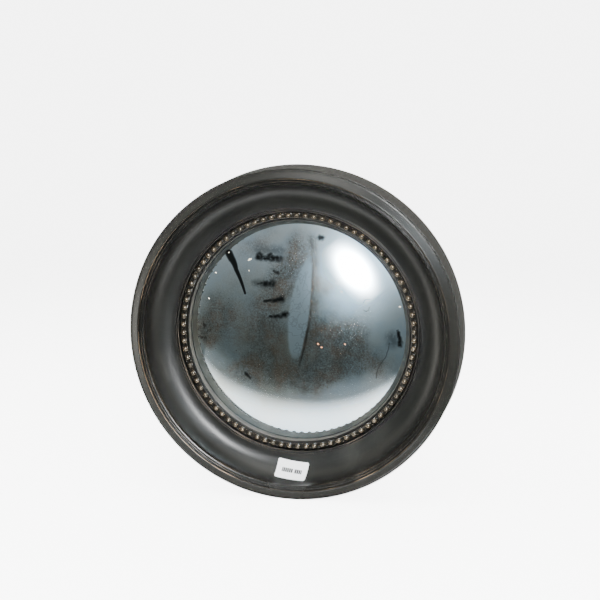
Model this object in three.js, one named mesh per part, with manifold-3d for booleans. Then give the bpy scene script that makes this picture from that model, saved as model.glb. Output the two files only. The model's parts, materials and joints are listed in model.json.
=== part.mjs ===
// Round convex wall mirror, in millimetres.
// The turned frame faces -Y, +Z is up, and the origin is the middle of the backing board's rear face.
import * as THREE from 'three';
import { mergeVertices } from 'three/addons/utils/BufferGeometryUtils.js';
import Module from 'manifold-3d';

const wasm = await Module();
wasm.setup();

// ---------------------------------------------------------------- driving dimensions
const frameRadius = 203;
const frameDepth = 52;            // rear face to the outer front corner
const ridgeRise = 6.3;            // how far the band climbs from that corner to its inner ridge
const bandWidth = 9;
const beadCount = 86;
const beadCircleRadius = 143.5;
const beadRadius = 3.75;
const beadFootRadius = 2.2;
const beadMiddleHeight = 3;       // from a bead's foot to its widest part
const firstBeadAngle = 2.4;       // degrees from +X towards +Z
const firstLeftBead = 22;         // the first bead past the top joint of the beading
const lipRadius = 136.4;          // the glass shows inside this
const lipThickness = 0.8;
const glassRadius = 139.5;
const glassSphereRadius = 385;
const glassThickness = 2.5;
const boardThickness = 3.2;
const gap = 0.3;                  // between neighbouring pieces
const ringSegments = 60;

// ---------------------------------------------------------------- levels, forward from the rear face
const ridgeLevel = frameDepth + ridgeRise;
const coveOuterLevel = frameDepth + 2;
const coveInnerLevel = frameDepth - 28;
const slipShelfLevel = 14;
const slipFilletLevel = frameDepth - 27;
const channelLevel = 19;
const lipTopLevel = 20.5;
const lipFootLevel = 10.4;
const glassContactLevel = lipFootLevel - gap;

// ---------------------------------------------------------------- radii
const boreRadius = 142;           // rear opening that the glass and board go in through
const slipSeatRadius = 151.5;
const coveInnerRadius = 152.6;
const coveOuterRadius = 184.8;
const coveSagitta = 9.2;
const coveFilletRise = 0.8;       // the small raised edge where the cove meets the slip

// ---------------------------------------------------------------- rear fittings
const buttonThickness = 1.6;
const buttonPivotRadius = 154;
const buttonAngles = [90, 180, 270, 0];
const bumperHeight = 8;
const bumperScrewSeat = 4;
const bumperAngles = [66, 114, 228, 312];
const bumperCircleRadius = 172;
const hangerOffset = 120;         // sideways from the middle to each hanger
const hangerPivotHeight = 140;
const strapThickness = 1.5;
const wireRadius = 1.5;
const pilotRadius = 1.9;
const screw = { shank: 1.6, length: 14, head: 3.6, headHeight: 2.2 };

// ---------------------------------------------------------------- materials
const ebonisedWood = new THREE.MeshStandardMaterial({ color: 0x2b2825, roughness: 0.45, metalness: 0 });
const bronzedBead = new THREE.MeshStandardMaterial({ color: 0x6d5a47, roughness: 0.4, metalness: 0.6 });
const silveredGlass = new THREE.MeshStandardMaterial({ color: 0x8f9aa6, roughness: 0.08, metalness: 1 });
const greyFelt = new THREE.MeshStandardMaterial({ color: 0x6e6c69, roughness: 0.95, metalness: 0 });
const packingCard = new THREE.MeshStandardMaterial({ color: 0xa67c52, roughness: 0.9, metalness: 0 });
const brownHardboard = new THREE.MeshStandardMaterial({ color: 0x7a5a3c, roughness: 0.85, metalness: 0 });
const zincSteel = new THREE.MeshStandardMaterial({ color: 0xb5b3aa, roughness: 0.35, metalness: 1 });
const brassedSteel = new THREE.MeshStandardMaterial({ color: 0xa88a4c, roughness: 0.35, metalness: 1 });
const blackRubber = new THREE.MeshStandardMaterial({ color: 0x1c1c1c, roughness: 0.8, metalness: 0 });
const whitePaper = new THREE.MeshStandardMaterial({ color: 0xf1f1ee, roughness: 0.6, metalness: 0 });

const mirror = new THREE.Group();

// ---------------------------------------------------------------- helpers
function addPiece(name, geometry, material) {
  const mesh = new THREE.Mesh(geometry, material);
  mesh.name = name;
  mirror.add(mesh);
  return mesh;
}

function point(radius, level) {
  return new THREE.Vector2(radius, -level);
}

// Turns a closed outline of (radius, level) points about the mirror's axis.
function turned(outline, segments = ringSegments) {
  const points = outline.map((p) => p.clone());
  if (THREE.ShapeUtils.area(points) < 0) {
    points.reverse();
  }
  points.push(points[0].clone());
  return new THREE.LatheGeometry(points, segments);
}

function arcPoints(centre, radius, fromAngle, toAngle, steps) {
  const points = [];
  for (let step = 0; step <= steps; step += 1) {
    const angle = fromAngle + (toAngle - fromAngle) * (step / steps);
    points.push(new THREE.Vector2(centre.x + radius * Math.cos(angle), centre.y + radius * Math.sin(angle)));
  }
  return points;
}

function polar(radius, degrees) {
  const angle = THREE.MathUtils.degToRad(degrees);
  return new THREE.Vector3(radius * Math.cos(angle), 0, radius * Math.sin(angle));
}

function toSolid(geometry) {
  const bare = geometry.clone();
  bare.deleteAttribute('normal');
  bare.deleteAttribute('uv');
  const merged = mergeVertices(bare, 1e-4);
  return new wasm.Manifold(new wasm.Mesh({
    numProp: 3,
    vertProperties: new Float32Array(merged.attributes.position.array),
    triVerts: new Uint32Array(merged.index.array),
  }));
}

function toGeometry(solid) {
  const mesh = solid.getMesh();
  const geometry = new THREE.BufferGeometry();
  geometry.setAttribute('position', new THREE.BufferAttribute(mesh.vertProperties, 3));
  geometry.setIndex(new THREE.BufferAttribute(mesh.triVerts, 1));
  geometry.computeVertexNormals();
  return geometry;
}

// A round hole along the mirror's axis, bored from one depth to another.
function bore(place, radius, fromY, toY) {
  const hole = new THREE.CylinderGeometry(radius, radius, toY - fromY, 12);
  hole.translate(place.x, (fromY + toY) / 2, place.z);
  return toSolid(hole);
}

function extruded(shape, depth, curveSegments) {
  return new THREE.ExtrudeGeometry(shape, { depth, curveSegments, bevelEnabled: false });
}

// A flat plate, cut from an outline drawn in X and Z, from y = 0 to y = thickness.
function plate(shape, thickness) {
  const geometry = extruded(shape, thickness, 8);
  geometry.rotateX(Math.PI / 2);
  geometry.translate(0, thickness, 0);
  return geometry;
}

// ---------------------------------------------------------------- turned frame
// The cove is one arc whose middle sinks below the straight line between its two edges.
function coveArc() {
  const outer = point(coveOuterRadius, coveOuterLevel);
  const inner = point(coveInnerRadius, coveInnerLevel);
  const chord = inner.clone().sub(outer);
  const radius = chord.length() ** 2 / (8 * coveSagitta) + coveSagitta / 2;
  const towardsCentre = new THREE.Vector2(chord.y, -chord.x).normalize();
  const side = towardsCentre.y < 0 ? 1 : -1;
  const middle = outer.clone().add(inner).multiplyScalar(0.5);
  const centre = middle.addScaledVector(towardsCentre, side * (radius - coveSagitta));
  const fromAngle = Math.atan2(outer.y - centre.y, outer.x - centre.x);
  const toAngle = Math.atan2(inner.y - centre.y, inner.x - centre.x);
  return { centre, radius, fromAngle, toAngle };
}

function frameOutline() {
  const cove = coveArc();
  const bandOuterRadius = frameRadius - 2.7;
  const ridgeRadius = bandOuterRadius - bandWidth;
  return [
    point(boreRadius, 0),
    point(frameRadius - 1, 0),
    point(frameRadius, 1),
    point(frameRadius, frameDepth - 3),
    point(frameRadius - 0.7, frameDepth - 1.9),
    point(frameRadius - 1.9, frameDepth - 1.6),
    point(bandOuterRadius, frameDepth),
    point(ridgeRadius + 1, ridgeLevel - 0.3),
    point(ridgeRadius, ridgeLevel),
    point(ridgeRadius - 1.2, ridgeLevel - 2.8),
    point(ridgeRadius - 2.1, ridgeLevel - 3.1),
    point(ridgeRadius - 3.4, ridgeLevel - 2.2),
    point(ridgeRadius - 4.4, ridgeLevel - 3),
    point(ridgeRadius - 5, ridgeLevel - 4.7),
    point(coveOuterRadius + 0.6, coveOuterLevel + 0.3),
    ...arcPoints(cove.centre, cove.radius, cove.fromAngle, cove.toAngle, 9),
    point(coveInnerRadius - 0.2, coveInnerLevel + coveFilletRise),
    point(slipSeatRadius, coveInnerLevel + coveFilletRise),
    point(slipSeatRadius, slipShelfLevel),
    point(boreRadius, slipShelfLevel),
  ];
}

function drillFrame(frame, places) {
  const holeDepth = screw.length + 1;
  return places.reduce((solid, place) => solid.subtract(bore(place, pilotRadius, -holeDepth, 1)), frame);
}

// ---------------------------------------------------------------- bead slip and beads
function slipOutline() {
  const outer = slipSeatRadius - gap;
  const neckRadius = boreRadius - 0.4;
  const filletInner = outer - 2.6;
  return [
    point(lipRadius, lipFootLevel),
    point(lipRadius + 0.5, lipTopLevel - 1),
    point(lipRadius + 1.2, lipTopLevel),
    point(lipRadius + 2.4, lipTopLevel),
    point(lipRadius + 3.2, channelLevel),
    point(filletInner - 0.6, channelLevel),
    point(filletInner, slipFilletLevel - 0.8),
    point(filletInner + 0.7, slipFilletLevel),
    point(outer - 0.6, slipFilletLevel),
    point(outer, slipFilletLevel - 0.8),
    point(outer, slipShelfLevel + gap),
    point(neckRadius, slipShelfLevel + gap),
    point(neckRadius, lipFootLevel + lipThickness),
    point(lipRadius + lipThickness, lipFootLevel + lipThickness),
  ];
}

function beadSolid(degrees) {
  const bottom = channelLevel + gap;
  const middle = bottom + beadMiddleHeight;
  const shoulder = beadRadius * Math.SQRT1_2;
  const outline = [
    point(0, bottom),
    point(beadFootRadius, bottom),
    point(beadRadius, middle),
    point(shoulder, middle + shoulder),
    point(0, middle + beadRadius),
  ];
  const bead = turned(outline, 6);
  const place = polar(beadCircleRadius, degrees);
  bead.translate(place.x, 0, place.z);
  return toSolid(bead);
}

// One half of the beading: a thin strip that carries its beads, ending midway between two of them.
function beadStrip(firstBead) {
  const pitch = 360 / beadCount;
  const halfCount = beadCount / 2;
  const bottom = channelLevel + gap;
  const stripHalfWidth = 3.5;
  const stripThickness = 1.5;
  const strip = turned([
    point(beadCircleRadius - stripHalfWidth, bottom),
    point(beadCircleRadius + stripHalfWidth, bottom),
    point(beadCircleRadius + stripHalfWidth, bottom + stripThickness),
    point(beadCircleRadius - stripHalfWidth, bottom + stripThickness),
  ]);
  const startAngle = firstBeadAngle + (firstBead - 0.5) * pitch;
  const reach = frameRadius * 2;
  const halfSpace = new THREE.BoxGeometry(reach, reach, reach);
  halfSpace.translate(0, 0, reach / 2 + gap / 2);
  halfSpace.rotateY(THREE.MathUtils.degToRad(-startAngle));
  let solid = toSolid(strip).intersect(toSolid(halfSpace));
  for (let bead = firstBead; bead < firstBead + halfCount; bead += 1) {
    solid = solid.add(beadSolid(firstBeadAngle + bead * pitch));
  }
  return toGeometry(solid);
}

// ---------------------------------------------------------------- glass and what holds it
const sphereCentreLevel = glassContactLevel - Math.sqrt(glassSphereRadius ** 2 - lipRadius ** 2);

function glassLevel(radius, sphereRadius) {
  return sphereCentreLevel + Math.sqrt(sphereRadius ** 2 - radius ** 2);
}

function domeArc(sphereRadius) {
  const steps = 7;
  const centre = new THREE.Vector2(0, -sphereCentreLevel);
  const edgeAngle = Math.asin(glassRadius / sphereRadius);
  return arcPoints(centre, sphereRadius, -Math.PI / 2, -Math.PI / 2 + edgeAngle, steps);
}

function glassOutline() {
  const front = domeArc(glassSphereRadius);
  const rear = domeArc(glassSphereRadius - glassThickness).reverse();
  front[0].x = 0;
  rear[rear.length - 1].x = 0;
  return [...front, ...rear];
}

// Felt between the slip's lip and the glass.
function feltOutline() {
  const inner = lipRadius + 1.1;
  const outer = glassRadius - 0.2;
  const top = lipFootLevel + lipThickness - gap;
  return [
    point(inner, glassLevel(inner, glassSphereRadius) + gap),
    point(outer, glassLevel(outer, glassSphereRadius) + gap),
    point(outer, top),
    point(inner, top),
  ];
}

function packingOutline() {
  const inner = lipRadius - 2;
  const outer = glassRadius - 0.1;
  const bottom = boardThickness + gap;
  const top = glassLevel(glassRadius, glassSphereRadius - glassThickness) - gap;
  return [point(inner, bottom), point(outer, bottom), point(outer, top), point(inner, top)];
}

function boardOutline() {
  const radius = boreRadius - 0.4;
  return [point(0, 0), point(radius, 0), point(radius, boardThickness), point(0, boardThickness)];
}

// ---------------------------------------------------------------- rear fittings
function screwGeometry() {
  const { shank, length, head, headHeight } = screw;
  return turned([
    new THREE.Vector2(0, -length),
    new THREE.Vector2(shank, -length + 4),
    new THREE.Vector2(shank, 0),
    new THREE.Vector2(head, 0),
    new THREE.Vector2(head, headHeight * 0.4),
    new THREE.Vector2(head * 0.7, headHeight * 0.85),
    new THREE.Vector2(0, headHeight),
  ], 12);
}

function addScrew(name, place, seatY, material) {
  const mesh = addPiece(name, screwGeometry(), material);
  mesh.position.set(place.x, seatY + gap, place.z);
}

function buttonOutline() {
  const halfWidth = 6.5;
  const tail = 4;
  const tongue = 21;
  const shape = new THREE.Shape();
  shape.absarc(0, tail, halfWidth, 0, Math.PI, false);
  shape.lineTo(-halfWidth, -tongue);
  shape.absarc(0, -tongue, halfWidth, Math.PI, Math.PI * 2, false);
  shape.closePath();
  const hole = new THREE.Path();
  hole.absarc(0, 0, pilotRadius, 0, Math.PI * 2, true);
  shape.holes.push(hole);
  return shape;
}

function addTurnButton(number, degrees) {
  const place = polar(buttonPivotRadius, degrees);
  const button = addPiece(`turn_button_${number}`, plate(buttonOutline(), buttonThickness), brassedSteel);
  button.position.set(place.x, gap, place.z);
  button.rotation.y = THREE.MathUtils.degToRad(90 - degrees);
  addScrew(`turn_button_screw_${number}`, place, gap + buttonThickness, brassedSteel);
}

// The hanger strap is a flat plate rolled into an eye at its top, with two screw holes below.
const strapWidth = 13;
const strapLength = 44;
const strapScrewDrops = [24, 37];
const eyeInner = wireRadius + 0.4;
const eyeOuter = eyeInner + strapThickness;
const eyeY = gap + eyeOuter;

function strapGeometry() {
  const top = gap + strapThickness;
  const meetAngle = Math.PI + Math.asin((eyeY - top) / eyeOuter);
  const shape = new THREE.Shape();
  shape.moveTo(-strapLength, gap);
  shape.lineTo(0, gap);
  shape.absarc(0, eyeY, eyeOuter, -Math.PI / 2, meetAngle, false);
  shape.lineTo(-strapLength, top);
  shape.closePath();
  const eye = new THREE.Path();
  eye.absarc(0, eyeY, eyeInner, 0, Math.PI * 2, true);
  shape.holes.push(eye);
  const geometry = extruded(shape, strapWidth, 10);
  const sideways = new THREE.Vector3(-1, 0, 0);
  geometry.applyMatrix4(new THREE.Matrix4().makeBasis(
    new THREE.Vector3(0, 0, 1),
    new THREE.Vector3(0, 1, 0),
    sideways,
  ));
  geometry.translate(strapWidth / 2, 0, 0);
  const drilled = strapScrewDrops.reduce(
    (solid, drop) => solid.subtract(bore(new THREE.Vector3(0, 0, -drop), pilotRadius, -1, top + 1)),
    toSolid(geometry),
  );
  return toGeometry(drilled);
}

function wireTube(points, steps) {
  const section = new THREE.Shape();
  section.absarc(0, 0, wireRadius, 0, Math.PI * 2, false);
  const path = new THREE.CatmullRomCurve3(points, false, 'centripetal');
  const options = { steps, extrudePath: path, curveSegments: 4, bevelEnabled: false };
  const tube = new THREE.ExtrudeGeometry(section, options);
  return toSolid(tube);
}

// A D-shaped wire ring that hangs from its straight bar, which lies along X through the origin.
function hangerRingGeometry() {
  const halfWidth = 10.5;
  const cornerRadius = 3;
  const legEnd = -7;
  const bowSteps = 24;
  const bow = new THREE.Path();
  bow.moveTo(-halfWidth + cornerRadius, 0);
  bow.absarc(-halfWidth + cornerRadius, -cornerRadius, cornerRadius, Math.PI / 2, Math.PI, false);
  bow.lineTo(-halfWidth, legEnd);
  bow.absarc(0, legEnd, halfWidth, Math.PI, Math.PI * 2, false);
  bow.lineTo(halfWidth, -cornerRadius);
  bow.absarc(halfWidth - cornerRadius, -cornerRadius, cornerRadius, 0, Math.PI / 2, false);
  const bowPoints = bow.getSpacedPoints(bowSteps).map((p) => new THREE.Vector3(p.x, 0, p.y));
  const barEnd = halfWidth - cornerRadius + 0.5;
  const barPoints = [new THREE.Vector3(-barEnd, 0, 0), new THREE.Vector3(barEnd, 0, 0)];
  return toGeometry(wireTube(bowPoints, bowSteps).add(wireTube(barPoints, 1)));
}

function addHanger(side, x) {
  const strap = addPiece(`hanger_strap_${side}`, strapGeometry(), zincSteel);
  strap.position.set(x, 0, hangerPivotHeight);
  const ring = addPiece(`hanger_ring_${side}`, hangerRingGeometry(), zincSteel);
  ring.position.set(x, eyeY, hangerPivotHeight);
  strapScrewDrops.forEach((drop, index) => {
    const place = new THREE.Vector3(x, 0, hangerPivotHeight - drop);
    addScrew(`hanger_screw_${side}_${index + 1}`, place, gap + strapThickness, zincSteel);
  });
}

function bumperGeometry() {
  const outer = 8;
  const top = gap + bumperHeight;
  const recessRadius = screw.head + 0.8;
  return turned([
    new THREE.Vector2(pilotRadius, gap),
    new THREE.Vector2(outer, gap),
    new THREE.Vector2(outer, top - 0.6),
    new THREE.Vector2(outer - 0.5, top),
    new THREE.Vector2(recessRadius, top),
    new THREE.Vector2(recessRadius, bumperScrewSeat),
    new THREE.Vector2(pilotRadius, bumperScrewSeat),
  ], 14);
}

function addBumper(number, degrees) {
  const place = polar(bumperCircleRadius, degrees);
  const bumper = addPiece(`wall_bumper_${number}`, bumperGeometry(), blackRubber);
  bumper.position.copy(place);
  addScrew(`bumper_screw_${number}`, place, bumperScrewSeat, zincSteel);
}

// ---------------------------------------------------------------- sticker
// A paper sticker bent onto the cove near the bottom, a little askew.
function labelGeometry() {
  const width = 39;
  const height = 26;
  const thickness = 0.3;
  const tilt = THREE.MathUtils.degToRad(-5);
  const centreAngle = THREE.MathUtils.degToRad(268.3);
  const upTheCove = 0.584;          // how far in from the cove's outer edge its middle sits
  const cove = coveArc();
  const sheet = new THREE.BoxGeometry(width, height, thickness, 6, 4, 1);
  const place = sheet.attributes.position;
  const middleAngle = cove.fromAngle + (cove.toAngle - cove.fromAngle) * upTheCove;
  const turn = Math.sign(cove.fromAngle - cove.toAngle);
  for (let index = 0; index < place.count; index += 1) {
    const across = place.getX(index) * Math.cos(tilt) - place.getY(index) * Math.sin(tilt);
    const up = place.getX(index) * Math.sin(tilt) + place.getY(index) * Math.cos(tilt);
    const lift = gap + thickness / 2 + place.getZ(index);
    const coveAngle = middleAngle - (turn * up) / cove.radius;
    const reach = cove.radius - lift;
    const radius = cove.centre.x + reach * Math.cos(coveAngle);
    const y = cove.centre.y + reach * Math.sin(coveAngle);
    const angle = centreAngle + across / radius;
    place.setXYZ(index, radius * Math.cos(angle), y, radius * Math.sin(angle));
  }
  sheet.computeVertexNormals();
  return sheet;
}

// ---------------------------------------------------------------- assembly
function screwPlaces() {
  const buttons = buttonAngles.map((degrees) => polar(buttonPivotRadius, degrees));
  const bumpers = bumperAngles.map((degrees) => polar(bumperCircleRadius, degrees));
  const hangers = [-hangerOffset, hangerOffset].flatMap((x) => strapScrewDrops.map(
    (drop) => new THREE.Vector3(x, 0, hangerPivotHeight - drop),
  ));
  return [...buttons, ...bumpers, ...hangers];
}

const drilledFrame = drillFrame(toSolid(turned(frameOutline())), screwPlaces());
addPiece('frame_moulding', toGeometry(drilledFrame), ebonisedWood);
addPiece('bead_slip', turned(slipOutline()), ebonisedWood);
addPiece('bead_strip_right', beadStrip(firstLeftBead - beadCount / 2), bronzedBead);
addPiece('bead_strip_left', beadStrip(firstLeftBead), bronzedBead);
addPiece('mirror_glass', turned(glassOutline()), silveredGlass);
addPiece('rebate_felt', turned(feltOutline()), greyFelt);
addPiece('packing_ring', turned(packingOutline()), packingCard);
addPiece('backing_board', turned(boardOutline()), brownHardboard);
buttonAngles.forEach((degrees, index) => addTurnButton(index + 1, degrees));
addHanger('left', -hangerOffset);
addHanger('right', hangerOffset);
bumperAngles.forEach((degrees, index) => addBumper(index + 1, degrees));
addPiece('lot_label', labelGeometry(), whitePaper);

export default mirror;
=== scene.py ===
"""Round convex wall mirror: the looks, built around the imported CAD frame.

Metres. The mirror faces -Y, +Z is up, and the origin is the middle of the backing board's rear face.
"Level" is the distance in front of that rear face, and "radius" the distance from the mirror's axis.
"""

import json
import math
import random

import bmesh
import bpy
from mathutils import Matrix, Vector


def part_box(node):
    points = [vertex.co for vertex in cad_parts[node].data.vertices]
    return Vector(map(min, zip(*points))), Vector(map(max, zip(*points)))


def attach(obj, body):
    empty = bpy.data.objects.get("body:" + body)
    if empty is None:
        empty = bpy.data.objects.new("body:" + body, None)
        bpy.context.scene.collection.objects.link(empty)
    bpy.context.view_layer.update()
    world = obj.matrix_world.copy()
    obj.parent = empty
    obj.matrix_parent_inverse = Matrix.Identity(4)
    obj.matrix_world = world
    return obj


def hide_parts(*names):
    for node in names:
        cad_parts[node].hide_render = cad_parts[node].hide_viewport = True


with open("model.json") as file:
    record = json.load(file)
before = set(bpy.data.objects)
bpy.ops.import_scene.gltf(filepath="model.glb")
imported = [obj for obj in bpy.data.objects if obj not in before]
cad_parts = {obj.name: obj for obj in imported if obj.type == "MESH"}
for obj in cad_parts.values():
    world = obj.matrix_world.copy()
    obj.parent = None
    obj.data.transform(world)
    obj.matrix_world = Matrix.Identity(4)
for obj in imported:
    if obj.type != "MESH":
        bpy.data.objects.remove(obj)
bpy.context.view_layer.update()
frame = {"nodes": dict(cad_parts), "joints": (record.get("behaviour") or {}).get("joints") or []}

MM = 0.001
BODY = "mirror"
random.seed(7)

# ---------------- sizes read from the frame
frame_low, frame_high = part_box("frame_moulding")
slip_low, slip_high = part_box("bead_slip")
glass_low, glass_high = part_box("mirror_glass")
board_low, board_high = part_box("backing_board")

FRAME_RADIUS = frame_high.x
RIDGE_LEVEL = -frame_low.y
RIM_LEVEL = RIDGE_LEVEL - 6.3 * MM
BORE_RADIUS = board_high.x + 0.4 * MM
SLIP_RADIUS = slip_high.x
SLIP_LEVEL = -slip_low.y
SHELF_LEVEL = 14 * MM
GLASS_RADIUS = glass_high.x
GLASS_APEX = -glass_low.y
BOARD_THICKNESS = board_high.y - board_low.y

# ---------------- details finer than the CAD
RING_STEPS = 360
RIDGE_RADIUS = FRAME_RADIUS - 11.7 * MM
COVE_OUTER = Vector((FRAME_RADIUS - 18.2 * MM, RIM_LEVEL + 2 * MM))
COVE_INNER = Vector((FRAME_RADIUS - 50.4 * MM, RIM_LEVEL - 28 * MM))
COVE_DEPTH = 9.2 * MM
LIP_RADIUS = GLASS_RADIUS - 3.1 * MM
LIP_FOOT = 10.4 * MM
LIP_TOP = 20.5 * MM
CHANNEL_LEVEL = 19 * MM
BEAD_COUNT = 86
BEAD_CIRCLE = FRAME_RADIUS - 59.5 * MM
BEAD_RADIUS = 3.75 * MM
BEAD_PITCH = math.tau / BEAD_COUNT
FIRST_BEAD = math.radians(2.4)
FIRST_LEFT_BEAD = 22
GLASS_SPHERE = 385 * MM
GLASS_THICKNESS = 2.5 * MM
SPHERE_CENTRE = GLASS_APEX - GLASS_SPHERE
SMOOTH_ANGLE = math.radians(32)


# ---------------- mesh helpers
def at(radius, level, angle):
    """The point at that radius and level, at an angle from +X towards +Z."""
    return Vector((radius * math.cos(angle), -level, radius * math.sin(angle)))


def add_object(name, mesh, material):
    piece = bpy.data.objects.new(name, mesh)
    bpy.context.scene.collection.objects.link(piece)
    mesh.materials.clear()
    mesh.materials.append(material)
    return piece


def add_piece(name, mesh, material, slot, *nodes, body=BODY):
    """Adds a mesh that rides on its body and stands for its CAD node."""
    piece = add_object(name, mesh, material)
    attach(piece, body)
    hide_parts(*nodes)


def smooth(mesh, angle=SMOOTH_ANGLE):
    for face in mesh.polygons:
        face.use_smooth = True
    mesh.set_sharp_from_angle(angle=angle)


def finish_mesh(name, bm, sharp=SMOOTH_ANGLE):
    """Turns a bmesh into a clean, outward-facing mesh."""
    bmesh.ops.remove_doubles(bm, verts=bm.verts, dist=1e-6)
    bmesh.ops.recalc_face_normals(bm, faces=bm.faces)
    mesh = bpy.data.meshes.new(name)
    bm.to_mesh(mesh)
    bm.free()
    smooth(mesh, sharp)
    return mesh


def evenly(start, end, steps):
    """Evenly spaced numbers from start to end."""
    return [start + (end - start) * step / steps for step in range(steps + 1)]


def turns(steps):
    """Evenly spaced angles round a circle."""
    return evenly(0, math.tau, steps)[:-1]


def arc(centre, radius, start, end, steps):
    """Points on an arc, both ends included."""
    return [centre + Vector((math.cos(a), math.sin(a))) * radius for a in evenly(start, end, steps)]


def rounded(corners, steps=4):
    """An outline from (radius mm, level mm, rounding mm) corners, each corner turned into a small arc."""
    points = []
    for index, (radius, level, rounding) in enumerate(corners):
        here = Vector((radius, level))
        into = Vector(corners[index - 1][:2]) - here
        out = Vector(corners[(index + 1) % len(corners)][:2]) - here
        reach = min(rounding, into.length * 0.45, out.length * 0.45)
        if reach < 0.01:
            points.append(here * MM)
            continue
        start = here + into.normalized() * reach
        end = here + out.normalized() * reach
        for t in evenly(0, 1, steps):
            curve = start * (1 - t) ** 2 + here * 2 * t * (1 - t) + end * t ** 2
            points.append(curve * MM)
    return points


def skin(bm, rows, close_rows=True, close_ends=False):
    """Joins rows of points with faces. Closed rows are loops. Closed ends join the last row to the first."""
    verts = [[bm.verts.new(point) for point in row] for row in rows]
    following = verts[1:] + verts[:1] if close_ends else verts[1:]
    for here, there in zip(verts, following):
        for index in range(len(here) if close_rows else len(here) - 1):
            follow = (index + 1) % len(here)
            bm.faces.new((here[index], there[index], there[follow], here[follow]))
    return verts


def turn_about(bm, outline, place, steps, closed=True):
    """Spins an outline of (radius, level) about an axis along Y through place."""
    rows = [[place + at(p.x, p.y, angle) for p in outline] for angle in turns(steps)]
    skin(bm, rows, close_rows=closed, close_ends=True)


def merge_poles(bm):
    """Joins the points that a turned outline leaves on its axis."""
    bmesh.ops.remove_doubles(bm, verts=bm.verts, dist=1e-7)
    bmesh.ops.dissolve_degenerate(bm, edges=bm.edges, dist=1e-8)


def turned_mesh(name, outline, steps=RING_STEPS, closed=True, place=Vector((0, 0, 0))):
    bm = bmesh.new()
    turn_about(bm, outline, place, steps, closed)
    merge_poles(bm)
    return finish_mesh(name, bm)


def cove_circle():
    """Centre, radius and end angles of the cove's arc, in (radius, level)."""
    chord = COVE_INNER - COVE_OUTER
    radius = chord.length ** 2 / (8 * COVE_DEPTH) + COVE_DEPTH / 2
    across = Vector((chord.y, -chord.x)).normalized()
    centre = (COVE_INNER + COVE_OUTER) / 2 + across * (radius - COVE_DEPTH)
    start = math.atan2(COVE_OUTER.y - centre.y, COVE_OUTER.x - centre.x)
    end = math.atan2(COVE_INNER.y - centre.y, COVE_INNER.x - centre.x)
    return centre, radius, start, end


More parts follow.
